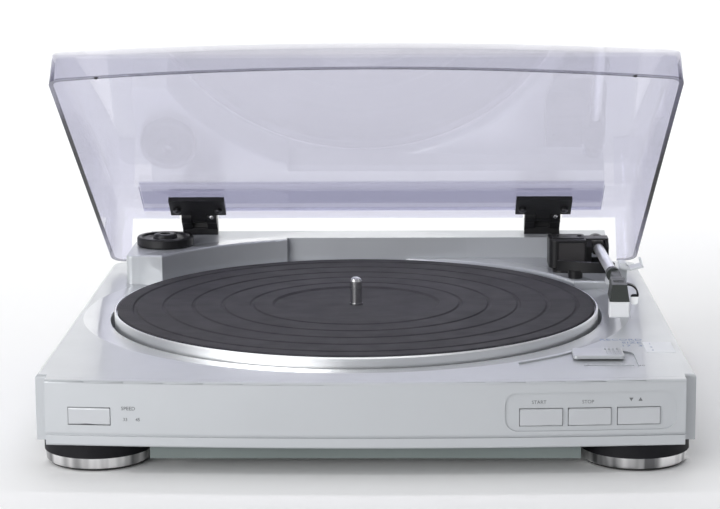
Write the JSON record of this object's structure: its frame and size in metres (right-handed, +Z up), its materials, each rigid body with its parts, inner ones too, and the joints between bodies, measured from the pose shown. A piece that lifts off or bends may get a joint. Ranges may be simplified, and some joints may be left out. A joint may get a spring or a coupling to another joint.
{
  "type": "turntable",
  "caption": "Automatic belt-drive turntable in silver plastic: platter with ribbed mat, straight tonearm on the right, four front buttons and a smoked hinged cover standing open.",
  "frame": {"origin": "on the table, under the middle of the machine's bounding box", "axes": "+X to the user's right, -Y towards the user (the front), +Z up"},
  "size_m": [0.36, 0.357, 0.2298],
  "materials": {
    "silver_plastic": "satin",
    "black_plastic": "satin",
    "grey_plastic": "satin",
    "light_plastic": "satin",
    "smoked_cover": "clear, tinted",
    "pan_steel": "matt",
    "chrome": "polished",
    "steel": "polished",
    "alloy": "satin",
    "brass": "polished",
    "rubber": "matt",
    "mat_rubber": "matt",
    "milky_plastic": "translucent",
    "board": "satin"
  },
  "bodies": {
    "chassis": {"plinth_cover": "silver_plastic", "fascia": "silver_plastic", "base_pan": "pan_steel", "foot_cup_front_left": "black_plastic", "foot_band_front_left": "chrome", "foot_pad_front_left": "rubber", "foot_cup_front_right": "black_plastic", "foot_band_front_right": "chrome", "foot_pad_front_right": "rubber", "foot_cup_rear_left": "black_plastic", "foot_band_rear_left": "chrome", "foot_pad_rear_left": "rubber", "foot_cup_rear_right": "black_plastic", "foot_band_rear_right": "chrome", "foot_pad_rear_right": "rubber", "case_screws": "steel", "spindle_bearing": "brass", "drive_motor": "steel", "drive_belt": "rubber", "power_board": "board", "power_transformer": "steel", "cord_glands": "rubber", "control_board": "board", "speed_switch": "grey_plastic", "hinge_block_left": "black_plastic", "hinge_block_right": "black_plastic", "hinge_pin_left": "steel", "hinge_pin_right": "steel", "tonearm_base": "black_plastic", "arm_rest": "light_plastic"},
    "dust_cover": {"dust_cover": "smoked_cover", "lid_bumpers": "rubber", "hinge_leaf_left": "black_plastic", "hinge_leaf_right": "black_plastic"},
    "platter": {"platter": "alloy", "slip_mat": "mat_rubber", "spindle": "steel", "hub_gear": "milky_plastic"},
    "motor_pulley": {"motor_shaft": "steel", "motor_pulley": "brass"},
    "cam_gear": {"cam_gear": "milky_plastic"},
    "tonearm_yoke": {"tonearm_yoke": "black_plastic", "arm_pins": "steel", "return_lever": "grey_plastic"},
    "tonearm": {"arm_block": "black_plastic", "counterweight": "black_plastic", "tonearm_tube": "alloy", "headshell": "grey_plastic", "cartridge": "black_plastic", "stylus": "milky_plastic", "finger_lift": "black_plastic"},
    "stylus_guard": {"stylus_guard": "milky_plastic"},
    "arm_clip": {"arm_clip": "light_plastic"},
    "cue_lifter": {"cue_lifter": "black_plastic"},
    "size_selector": {"size_selector": "light_plastic"},
    "adapter_45": {"adapter_45": "black_plastic"},
    "start_button": {"start_button": "light_plastic"},
    "stop_button": {"stop_button": "light_plastic"},
    "cue_button": {"cue_button": "light_plastic"},
    "speed_button": {"speed_button": "light_plastic"}
  },
  "joints": [
    {"name": "cover_hinge", "type": "hinge", "parent": "chassis", "child": "dust_cover", "pos_m": [0, 0.1675, 0.088], "axis": [-1, 0, 0], "range_deg": [-30.8, 12]},
    {"name": "platter_spin", "type": "hinge", "parent": "chassis", "child": "platter", "pos_m": [-0.0085, 0.0125, 0.05], "axis": [0, 0, -1], "continuous": true},
    {"name": "pulley_spin", "type": "hinge", "parent": "chassis", "child": "motor_pulley", "pos_m": [-0.10516, 0.08018, 0.05], "axis": [0, 0, -1], "continuous": true},
    {"name": "cam_turn", "type": "hinge", "parent": "chassis", "child": "cam_gear", "pos_m": [0.03049, -0.0148, 0.046], "axis": [0, 0, 1], "range_deg": [-8, 8]},
    {"name": "arm_swing", "type": "hinge", "parent": "chassis", "child": "tonearm_yoke", "pos_m": [0.1503, 0.1295, 0.0726], "axis": [0, 0, -1], "range_deg": [0, 40]},
    {"name": "arm_lift", "type": "hinge", "parent": "tonearm_yoke", "child": "tonearm", "pos_m": [0.1503, 0.1295, 0.0726], "axis": [-1, 0, 0], "range_deg": [-0.25, 6]},
    {"name": "guard_pull", "type": "slide", "parent": "tonearm", "child": "stylus_guard", "axis": [-0.0349, -0.9994, 0], "range_m": [0, 0.014]},
    {"name": "clip_turn", "type": "hinge", "parent": "chassis", "child": "arm_clip", "pos_m": [0.157, 0.0265, 0.0796], "axis": [0, -1, 0], "range_deg": [0, 165]},
    {"name": "cue_lift", "type": "slide", "parent": "chassis", "child": "cue_lifter", "axis": [0, 0, 1], "range_m": [-0.0025, 0]},
    {"name": "selector_slide", "type": "slide", "parent": "chassis", "child": "size_selector", "axis": [1, 0, 0], "range_m": [0, 0.009]},
    {"name": "adapter_lift", "type": "slide", "parent": "chassis", "child": "adapter_45", "axis": [0, 0, 1], "range_m": [0, 0.012]},
    {"name": "start_press", "type": "slide", "parent": "chassis", "child": "start_button", "axis": [0, 1, 0], "range_m": [0, 0.0025], "stiffness_N_per_m": 300, "springref_m": -0.001},
    {"name": "stop_press", "type": "slide", "parent": "chassis", "child": "stop_button", "axis": [0, 1, 0], "range_m": [0, 0.0025], "stiffness_N_per_m": 300, "springref_m": -0.001},
    {"name": "cue_press", "type": "slide", "parent": "chassis", "child": "cue_button", "axis": [0, 1, 0], "range_m": [0, 0.0025], "stiffness_N_per_m": 300, "springref_m": -0.001},
    {"name": "speed_press", "type": "slide", "parent": "chassis", "child": "speed_button", "axis": [0, 1, 0], "range_m": [0, 0.0025], "stiffness_N_per_m": 300, "springref_m": -0.001}
  ],
  "couplings": [
    {"joint": "pulley_spin", "follows": "platter_spin", "ratio": 19.6},
    {"joint": "cue_lift", "follows": "cue_press", "ratio": -1}
  ]
}
